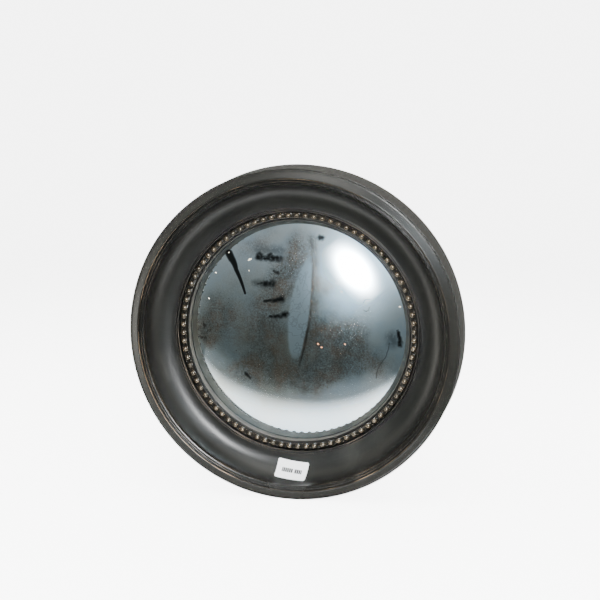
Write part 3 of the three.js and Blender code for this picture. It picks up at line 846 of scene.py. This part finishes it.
def add_pip(bm, angle):
    """The small bar between two beads, lying across the strip."""
    half_length = 2.9 * MM
    thick = 0.62 * MM
    centre = at(BEAD_CIRCLE, CHANNEL_LEVEL + 2.9 * MM, angle)
    outward = at(1, 0, angle)
    sideways = at(1, 0, angle + math.pi / 2)
    forward = Vector((0, -1, 0))
    rings = []
    for turn in evenly(0, math.pi, 8):
        middle = centre - outward * math.cos(turn) * half_length
        girth = thick * max(0.0, math.sin(turn)) ** 0.5
        rings.append([middle + (sideways * math.cos(a) + forward * math.sin(a)) * girth for a in turns(10)])
    skin(bm, rings)


def add_strip_base(bm, start_angle, end_angle):
    """The flat strip under the beads, closed at both ends."""
    half_width = 3.5 * MM
    bottom = CHANNEL_LEVEL + 0.3 * MM
    top = bottom + 1.5 * MM
    inner = BEAD_CIRCLE - half_width
    outer = BEAD_CIRCLE + half_width
    section = [(inner, bottom), (outer, bottom), (outer, top - 0.3 * MM), (outer - 0.4 * MM, top),
               (inner + 0.4 * MM, top), (inner, top - 0.3 * MM)]
    angles = evenly(start_angle, end_angle, RING_STEPS // 2)
    rings = skin(bm, [[at(radius, level, angle) for radius, level in section] for angle in angles])
    bm.faces.new(rings[0])
    bm.faces.new(list(reversed(rings[-1])))


def build_beading(name, node, first_bead, material):
    """Half the ring: a strip with its beads, and a pip between each two."""
    half_count = BEAD_COUNT // 2
    end_gap = 0.15 * MM / BEAD_CIRCLE
    start_angle = FIRST_BEAD + (first_bead - 0.5) * BEAD_PITCH
    bm = bmesh.new()
    add_strip_base(bm, start_angle + end_gap, start_angle + math.pi - end_gap)
    for bead in range(first_bead, first_bead + half_count):
        add_bead(bm, FIRST_BEAD + bead * BEAD_PITCH)
    for pip in range(first_bead, first_bead + half_count - 1):
        add_pip(bm, FIRST_BEAD + (pip + 0.5) * BEAD_PITCH)
    merge_poles(bm)
    add_piece(name, finish_mesh(name, bm), material, "bronzed_bead", node)


# ---------------- glass, board and what is between
def dome(radius, steps):
    """One face of the glass, from its middle out to its edge."""
    centre = Vector((0, SPHERE_CENTRE))
    edge = math.asin(GLASS_RADIUS / radius)
    points = arc(centre, radius, math.pi / 2, math.pi / 2 - edge, steps)
    points[0].x = 0
    return points


def build_glass(material):
    front = dome(GLASS_SPHERE, 40)
    rear = dome(GLASS_SPHERE - GLASS_THICKNESS, 40)
    outline = front + list(reversed(rear))
    add_piece("convex_plate", turned_mesh("convex_plate", outline, closed=False), material,
              "silvered_glass", "mirror_glass")


def build_board(material):
    radius = board_high.x / MM
    thick = BOARD_THICKNESS / MM
    rim = rounded([(0, 0, 0), (radius, 0, 0.4), (radius, thick, 0.2), (0, thick, 0)])
    add_piece("hardboard_back", turned_mesh("hardboard_back", rim, closed=False), material,
              "brown_hardboard", "backing_board")


# ---------------- rear fittings
SCREW_HEAD_HEIGHT = 2.2 * MM
SCREW_HOLE_RADIUS = 1.9 * MM


def plate_mesh(name, outlines, thickness, bevel):
    """A plate with bevelled edges from closed outlines in X and Z, from y = 0 to y = thickness."""
    curve = bpy.data.curves.new(name, "CURVE")
    curve.dimensions = "2D"
    curve.fill_mode = "BOTH"
    curve.extrude = thickness / 2 - bevel
    curve.bevel_depth = bevel
    curve.bevel_resolution = 2
    curve.offset = -bevel
    for outline in outlines:
        spline = curve.splines.new("POLY")
        spline.points.add(len(outline) - 1)
        spline.use_cyclic_u = True
        for point, place in zip(spline.points, outline):
            point.co = (place[0], place[1], 0, 1)
    holder = bpy.data.objects.new(name, curve)
    mesh = bpy.data.meshes.new_from_object(holder)
    bpy.data.objects.remove(holder)
    bpy.data.curves.remove(curve)
    mesh.transform(Matrix.Rotation(math.pi / 2, 4, "X"))
    mesh.transform(Matrix.Translation((0, thickness / 2, 0)))
    bm = bmesh.new()
    bm.from_mesh(mesh)
    bpy.data.meshes.remove(mesh)
    return finish_mesh(name, bm)


def circle(radius, steps, centre=Vector((0, 0))):
    return arc(centre, radius, 0, math.tau, steps)[:-1]


def cut(mesh, cutters, operation="DIFFERENCE"):
    """Cuts closed meshes out of a mesh, or keeps what it shares with them, and returns a new mesh."""
    target = bpy.data.objects.new("cut_target", mesh)
    bpy.context.scene.collection.objects.link(target)
    tools = []
    for cutter in cutters:
        tool = bpy.data.objects.new("cut_tool", cutter)
        bpy.context.scene.collection.objects.link(tool)
        modifier = target.modifiers.new("cut", "BOOLEAN")
        modifier.operation = operation
        modifier.solver = "EXACT"
        modifier.object = tool
        tools.append(tool)
    bpy.context.view_layer.update()
    depsgraph = bpy.context.evaluated_depsgraph_get()
    result = bpy.data.meshes.new_from_object(target.evaluated_get(depsgraph))
    for helper in (target, *tools):
        bpy.data.objects.remove(helper)
    smooth(result)
    return result


def screw_mesh():
    """A pan-head wood screw with a cross recess. Its head rests on y = 0 and its point is at -Y."""
    shank = 1.6 * MM
    length = 14 * MM
    head = 3.6 * MM
    shoulder = 0.7 * MM
    profile = [Vector((0, length)), Vector((shank * 0.35, length - 1.4 * MM)),
               Vector((shank, length - 4 * MM)), Vector((shank, 0.0)),
               Vector((head - 0.2 * MM, 0.0)), Vector((head, -0.25 * MM))]
    for turn in evenly(0, math.pi / 2, 10)[1:]:
        rise = shoulder + (SCREW_HEAD_HEIGHT - shoulder) * math.sin(turn)
        profile.append(Vector((head * math.cos(turn) ** 0.8, -rise)))
    body = turned_mesh("screw_body", profile, 40, closed=False)
    slot_length = 3.7 * MM
    slot_depth = 2.6 * MM
    slot_width = 0.85 * MM
    cutters = []
    for turn in (0, math.pi / 2):
        bm = bmesh.new()
        bmesh.ops.create_cube(bm, size=1.0)
        for vert in bm.verts:
            narrow = 0.55 if vert.co.y < 0 else 1.0
            x, y, z = vert.co
            vert.co = Vector((x * slot_length * narrow, y * slot_depth + SCREW_HEAD_HEIGHT, z * slot_width))
        bm.transform(Matrix.Rotation(turn, 4, "Y"))
        cutters.append(finish_mesh("recess", bm))
    return cut(body, cutters)


def build_screws(shared, materials):
    """Puts a copy of the screw where each CAD screw is, each turned its own way."""
    for node in frame["nodes"]:
        if "screw" not in node:
            continue
        low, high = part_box(node)
        slot = "brassed_steel" if node.startswith("turn_button") else "zinc_steel"
        mesh = shared.copy()
        seat = high.y - SCREW_HEAD_HEIGHT
        mesh.transform(Matrix.Rotation(random.uniform(0, math.pi), 4, "Y"))
        mesh.transform(Matrix.Translation(((low.x + high.x) / 2, seat, (low.z + high.z) / 2)))
        add_piece(node + "_cross_head", mesh, materials[slot], slot, node)


def build_turn_buttons(material):
    """Stamped turn buttons: round-ended plates, one over each edge of the board."""
    half_width = 6.5 * MM
    tail = 4 * MM
    tongue = 21 * MM
    thickness = 1.6 * MM
    outline = arc(Vector((0, tail)), half_width, 0, math.pi, 16)
    outline += arc(Vector((0, -tongue)), half_width, math.pi, math.tau, 16)
    hole = circle(SCREW_HOLE_RADIUS, 24)
    bodies = {"turn_button_1": "button_top", "turn_button_2": "button_left",
              "turn_button_3": "button_bottom", "turn_button_4": "button_right"}
    pivot_radius = 154 * MM
    for number, (node, body) in enumerate(bodies.items(), start=1):
        angle = math.pi / 2 * number
        mesh = plate_mesh(node + "_stamping", [outline, hole], thickness, 0.3 * MM)
        mesh.transform(Matrix.Rotation(math.pi / 2 - angle, 4, "Y"))
        mesh.transform(Matrix.Translation(at(pivot_radius, -0.3 * MM, angle)))
        add_piece(node + "_stamping", mesh, material, "brassed_steel", node, body=body)


def strap_mesh(strap_width, strap_length, wire, thickness, gap):
    """A strap rolled into an eye at its top, with a round lower end and two screw holes."""
    eye_inner = wire + 0.4 * MM
    eye_outer = eye_inner + thickness
    eye_y = gap + eye_outer
    top = gap + thickness
    meet = math.pi + math.asin((eye_y - top) / eye_outer)
    eye = Vector((0, eye_y))
    outline = [(-strap_length, gap), *arc(eye, eye_outer, -math.pi / 2, meet, 28), (-strap_length, top)]
    mesh = plate_mesh("strap", [outline, circle(eye_inner, 28, eye)], strap_width, 0.25 * MM)
    length_to_z = Matrix(((0, 1, 0, 0), (0, 0, 1, 0), (1, 0, 0, 0), (0, 0, 0, 1)))
    mesh.transform(length_to_z)
    mesh.transform(Matrix.Translation((-strap_width / 2, 0, 0)))
    half = strap_width / 2
    lower_end = arc(Vector((0, half - strap_length)), half, math.pi, math.tau, 16)
    keep = plate_mesh("strap_end", [[(half, 6 * MM), (-half, 6 * MM), *lower_end]], 20 * MM, 0.01 * MM)
    keep.transform(Matrix.Translation((0, -2 * MM, 0)))
    mesh = cut(mesh, [keep], "INTERSECT")
    reach = 4 * MM
    punch = [Vector((0, -reach)), Vector((SCREW_HOLE_RADIUS, -reach)),
             Vector((SCREW_HOLE_RADIUS, reach)), Vector((0, reach))]
    holes = [turned_mesh("strap_hole", punch, 24, closed=False, place=Vector((0, 0, -drop)))
             for drop in (24 * MM, 37 * MM)]
    return cut(mesh, holes)


def ring_mesh(wire):
    """The D-shaped wire ring, hanging from its straight bar."""
    half_width = 10.5 * MM
    corner = 3 * MM
    leg_end = -7 * MM
    route = arc(Vector((corner - half_width, -corner)), corner, math.pi / 2, math.pi, 8)
    route += arc(Vector((0, leg_end)), half_width, math.pi, math.tau, 32)
    route += arc(Vector((half_width - corner, -corner)), corner, 0, math.pi / 2, 8)
    backward = Vector((0, wire, 0))
    rings = []
    for index, place in enumerate(route):
        along = (route[(index + 1) % len(route)] - route[index - 1]).normalized()
        outward = Vector((along.y, 0, -along.x)) * wire
        centre = Vector((place.x, 0, place.y))
        rings.append([centre + outward * math.cos(a) + backward * math.sin(a) for a in turns(16)])
    bm = bmesh.new()
    skin(bm, rings, close_ends=True)
    return finish_mesh("ring", bm)


def build_hangers(material):
    """A D ring on each ring joint, and the strap that holds it."""
    wire = 1.5 * MM
    gap = 0.3 * MM
    for joint in frame["joints"]:
        if not joint["name"].startswith("ring_"):
            continue
        side = joint["child"].split("_")[1]
        pivot = Vector(joint["pos_m"])
        ring = ring_mesh(wire)
        ring.transform(Matrix.Translation(pivot))
        add_piece(f"d_ring_{side}", ring, material,
                  "zinc_steel", f"hanger_ring_{side}", body=joint["child"])
        strap = strap_mesh(13 * MM, 44 * MM, wire, 1.5 * MM, gap)
        strap.transform(Matrix.Translation((pivot.x, 0, pivot.z)))
        add_piece(f"rolled_strap_{side}", strap, material, "zinc_steel", f"hanger_strap_{side}")


def build_bumpers(material):
    """Rubber feet, each with a recess for its screw's head."""
    for number in range(1, 5):
        node = f"wall_bumper_{number}"
        low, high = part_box(node)
        outer = (high.x - low.x) / 2 / MM
        top = high.y / MM
        profile = rounded([
            (1.9, -0.3, 0.0),
            (outer, -0.3, 0.6),
            (outer, -top, 0.9),
            (4.4, -top, 0.5),
            (4.4, -4.0, 0.3),
            (1.9, -4.0, 0.0),
        ], 5)
        place = Vector(((low.x + high.x) / 2, 0, (low.z + high.z) / 2))
        add_piece(node + "_rubber", turned_mesh(node, profile, 64, place=place), material,
                  "black_rubber", node)


# ---------------- sticker
LABEL_WIDTH = 39 * MM
LABEL_HEIGHT = 26 * MM
LABEL_CORNER = 2.6 * MM
LABEL_TILT = math.radians(-6)
LABEL_ANGLE = math.radians(268.3)
LABEL_UP_COVE = 0.55


def on_cove(across, up, lift):
    """A point above the cove, from distances across and up from the label's middle."""
    centre, radius, start, end = cove_circle()
    middle = start + (end - start) * LABEL_UP_COVE
    turn = middle + math.copysign(1, end - start) * up / radius
    reach = radius - lift
    place_radius = centre.x + reach * math.cos(turn)
    level = centre.y + reach * math.sin(turn)
    return at(place_radius, level, LABEL_ANGLE + across / place_radius)


def label_point(side, rise, lift):
    """A point above the cove, from distances along and across the tilted label."""
    across = side * math.cos(LABEL_TILT) - rise * math.sin(LABEL_TILT)
    up = side * math.sin(LABEL_TILT) + rise * math.cos(LABEL_TILT)
    return on_cove(across, up, lift)


def into_round_corner(side, rise):
    """Pulls a point of the label's corner square back onto its rounded corner."""
    inner = Vector((LABEL_WIDTH / 2 - LABEL_CORNER, LABEL_HEIGHT / 2 - LABEL_CORNER))
    beyond = Vector((abs(side) - inner.x, abs(rise) - inner.y))
    if beyond.x <= 0 or beyond.y <= 0:
        return side, rise
    beyond = beyond.normalized() * max(beyond.x, beyond.y)
    return math.copysign(inner.x + beyond.x, side), math.copysign(inner.y + beyond.y, rise)


def label_layer(lift, columns, rows):
    """Rows of points over the label's whole face, at that height above the cove."""
    layer = []
    for row_rise in evenly(-LABEL_HEIGHT / 2, LABEL_HEIGHT / 2, rows):
        row_sides = evenly(-LABEL_WIDTH / 2, LABEL_WIDTH / 2, columns)
        places = [into_round_corner(side, row_rise) for side in row_sides]
        layer.append([label_point(side, rise, lift) for side, rise in places])
    return layer


def build_label():
    columns = 48
    rows = 34
    low_lift = 0.3 * MM
    high_lift = 0.52 * MM
    bm = bmesh.new()
    under = skin(bm, label_layer(low_lift, columns, rows), close_rows=False)
    over = skin(bm, label_layer(high_lift, columns, rows), close_rows=False)
    edge = [(0, c) for c in range(columns)] + [(r, columns) for r in range(rows)]
    edge += [(rows, c) for c in range(columns, 0, -1)] + [(r, 0) for r in range(rows, 0, -1)]
    for (row, column), (next_row, next_column) in zip(edge, edge[1:] + edge[:1]):
        bm.faces.new((under[row][column], under[next_row][next_column],
                      over[next_row][next_column], over[row][column]))
    centre = label_point(0, 0, high_lift)
    across = (label_point(1 * MM, 0, high_lift) - centre).normalized()
    up = (label_point(0, 1 * MM, high_lift) - centre).normalized()
    material = white_paper(centre, across, up, LABEL_WIDTH, LABEL_HEIGHT)
    add_piece("paper_label", finish_mesh("paper_label", bm, math.radians(50)), material,
              "white_paper", "lot_label")


# ---------------- stage, lights and camera
VIEW_AZIMUTH = math.radians(11.65)
VIEW_ELEVATION = math.radians(11.35)
VIEW_DISTANCE = 2.2
FLOOR_LEVEL = -FRAME_RADIUS - 0.4 * MM
FLOOR_GLOW = 6.0
NEAR_FLOOR_GLOW = 1.6
# In front of the board, the lit floor starts where the mirror's own shade ends, and fades at its outer edge.
SHADE_END = 66 * MM
OUTER_EDGE = 133 * MM
BACKDROP_GLOW = 7.5
CARD_EDGE_GLOW = 1 / 200
ROOM_LOW = (0.145, 0.172, 0.176)
ROOM_HIGH = (0.37, 0.41, 0.425)
ROOM_BEHIND = (0.30, 0.30, 0.285)
ROOM_SIDES = (0.98, 0.98, 0.91)


def direction(azimuth, elevation):
    """From the mirror towards a camera or light: azimuth 0 is straight in front of it."""
    return Vector((math.sin(azimuth) * math.cos(elevation),
                   -math.cos(azimuth) * math.cos(elevation),
                   math.sin(elevation)))


def aim(thing, target):
    away = thing.location - target
    thing.rotation_euler = away.to_track_quat("Z", "Y").to_euler()


def floor_material(name):
    g = Graph(name)
    g.set(Base_Color=(0.88, 0.88, 0.88), Roughness=0.9, Specular_IOR_Level=0.1)
    return g


def camera_ray(g):
    """1 for what the camera sees directly, and 0 for reflections and bounced light."""
    return g.node("LightPath", {}, "Is Camera Ray")


def fade_out(g, amount):
    """Lets the world show through where amount is 0."""
    clear = g.node("BsdfTransparent", {})
    g.show(g.node("MixShader", {0: amount, 1: clear, 2: g.shader.outputs[0]}))


def add_sheet(name, width, height, graph):
    """A flat sheet that belongs to the stage, not to the mirror."""
    mesh = bpy.data.meshes.new(name)
    x = width / 2
    y = height / 2
    mesh.from_pydata([(-x, -y, 0), (x, -y, 0), (x, y, 0), (-x, y, 0)], [], [(0, 1, 2, 3)])
    sheet = add_object(name, mesh, graph.made)
    return sheet


def build_floor():
    """A pale floor that melts into the backdrop. The mirror plate doesn't see it."""
    g = floor_material("pale_floor")
    x, y, _ = g.split(g.position())
    distance = g.math("SQRT", g.add(g.times(x, x), g.times(y, y)))
    g.set(Emission_Color=(1, 1, 1), Emission_Strength=g.times(camera_ray(g), FLOOR_GLOW))
    fade_out(g, g.fading(distance, 0.5, 1.9))
    floor = add_sheet("pale_floor", 4.0, 4.0, g)
    floor.location.z = FLOOR_LEVEL
    floor.visible_glossy = False


def build_near_floor():
    """The lit floor close to the mirror, seen only in reflections: it makes the glass's white crescent."""
    g = floor_material("near_floor")
    x, y, _ = g.split(g.position())
    sideways = g.times(x, x)
    rightward = g.math("MAXIMUM", x, 0.0)
    bend = g.add(g.times(sideways, 0.50), g.times(rightward, rightward, 0.95))
    inside_edge = g.add(y, bend, OUTER_EDGE)
    into_shade = g.add(y, sideways, SHADE_END)
    bright = g.between(inside_edge, -0.065, 0.040)
    haze = g.between(inside_edge, -0.20, 0.0, 0.0, 0.09)
    lit = g.times(g.largest(bright, haze), g.fading(into_shade, -0.006, 0.006), g.fading(x, 0.19, 0.30))
    g.set(Emission_Color=(0.94, 0.98, 1.0), Emission_Strength=NEAR_FLOOR_GLOW)
    fade_out(g, lit)
    sheet = add_sheet("near_floor", 3.0, 3.0, g)
    sheet.location.z = FLOOR_LEVEL + 0.2 * MM
    sheet.visible_camera = False
    sheet.visible_diffuse = False
    sheet.visible_shadow = False


def add_light_card(name, azimuth, elevation, distance, spread, colour, strength,
                   taller=1.25, lean=0.0, sharpness=1.0):
    """A clear card that glows round its middle, fading out smoothly as a soft light does in old glass."""
    g = Graph(name)
    x, y, _ = g.split(g.position())
    squared = g.times(g.add(g.times(x, x), g.times(y, y, 1 / taller ** 2)), 0.5 / spread ** 2)
    fall = g.times(g.math("POWER", squared, sharpness), -1.0)
    glow = g.node("Emission", {"Color": colour, "Strength": g.times(g.math("EXPONENT", fall), strength)})
    g.show(g.node("AddShader", {0: g.node("BsdfTransparent", {}), 1: glow}))
    half_width = spread * math.sqrt(2) * math.log(1 / CARD_EDGE_GLOW) ** (0.5 / sharpness)
    card = add_sheet(name, 2 * half_width, 2 * half_width * taller, g)
    card.location = direction(math.radians(azimuth), math.radians(elevation)) * distance
    aim(card, Vector((0, 0, 0)))
    card.rotation_euler.rotate_axis("Z", math.radians(lean))
    card.visible_camera = False
    card.visible_shadow = False


def add_fill(name, azimuth, elevation, distance, size, watts):
    """A wide soft light that doesn't show in reflections."""
    light = bpy.data.lights.new(name, "AREA")
    light.size = size
    light.energy = watts
    lamp = bpy.data.objects.new(name, light)
    bpy.context.scene.collection.objects.link(lamp)
    lamp.location = direction(math.radians(azimuth), math.radians(elevation)) * distance
    aim(lamp, Vector((0, 0, 0)))
    lamp.visible_glossy = False


def build_lights():
    add_light_card("key_card", 13, 16, 2.4, 0.102, (1.0, 1.0, 1.0), 190,
                   taller=1.75, lean=38, sharpness=0.95)
    add_light_card("glow_card", 13, 16, 2.5, 0.38, (0.64, 0.85, 1.0), 3.5)
    add_light_card("ceiling_card", 5, 62, 2.4, 0.48, (1.0, 1.0, 0.97), 4)
    add_light_card("corner_card", 40, 27, 2.5, 0.34, (0.84, 0.94, 1.0), 6)
    add_light_card("left_card", -78, -8, 2.4, 0.40, (1.0, 0.98, 0.90), 2.6)
    add_fill("top_fill", 10, 78, 2.2, 1.8, 36)
    add_fill("front_fill", 15, 30, 2.6, 1.6, 60)
    add_fill("left_fill", -60, 25, 2.4, 1.6, 20)
    add_fill("back_fill", 200, 35, 2.6, 2.0, 26)


def build_world():
    """White where the camera looks past the mirror. In reflections, a dim room with paler sides."""
    g = Graph("studio", bpy.data.worlds)
    _, y, z = g.split(g.node("TexCoord", {}, "Generated"))
    front = g.mix(g.between(z, -0.4, 0.5), ROOM_LOW, ROOM_HIGH)
    front_and_sides = g.mix(g.between(y, -0.56, -0.28), front, ROOM_SIDES)
    surroundings = g.mix(g.between(y, 0.25, 0.75), front_and_sides, ROOM_BEHIND)
    room = g.node("Background", {"Color": surroundings})
    backdrop = g.node("Background", {"Strength": BACKDROP_GLOW})
    g.show(g.node("MixShader", {0: camera_ray(g), 1: room, 2: backdrop}))
    bpy.context.scene.world = g.made


def build_camera():
    """A long lens, from a little above the mirror and to its right, shifted to frame it off centre."""
    camera = bpy.data.cameras.new("camera")
    camera.sensor_width = 36
    camera.lens = 109.7
    camera.shift_x = 0.0126
    camera.shift_y = 0.0616
    holder = bpy.data.objects.new("camera", camera)
    bpy.context.scene.collection.objects.link(holder)
    target = Vector((0, -RIM_LEVEL, 0))
    holder.location = target + direction(VIEW_AZIMUTH, VIEW_ELEVATION) * VIEW_DISTANCE
    aim(holder, target)
    bpy.context.scene.camera = holder


# ---------------- assembly
def keep_cad_piece(node, material):
    """A CAD piece whose shape is right stays, with a better material."""
    mesh = frame["nodes"][node].data
    mesh.materials.clear()
    mesh.materials.append(material)


build_camera()
build_world()
build_lights()
build_floor()
build_near_floor()

wood = ebonised_wood()
bronze = bronzed_bead()
zinc = zinc_steel()
brass = brassed_steel()

build_frame(wood)
build_slip(wood)
build_beading("beading_right", "bead_strip_right", FIRST_LEFT_BEAD - BEAD_COUNT // 2, bronze)
build_beading("beading_left", "bead_strip_left", FIRST_LEFT_BEAD, bronze)
build_glass(silvered_glass())
build_board(brown_hardboard())
keep_cad_piece("rebate_felt", grey_felt())
keep_cad_piece("packing_ring", packing_card())
build_turn_buttons(brass)
build_hangers(zinc)
build_screws(screw_mesh(), {"brassed_steel": brass, "zinc_steel": zinc})
build_bumpers(black_rubber())
build_label()
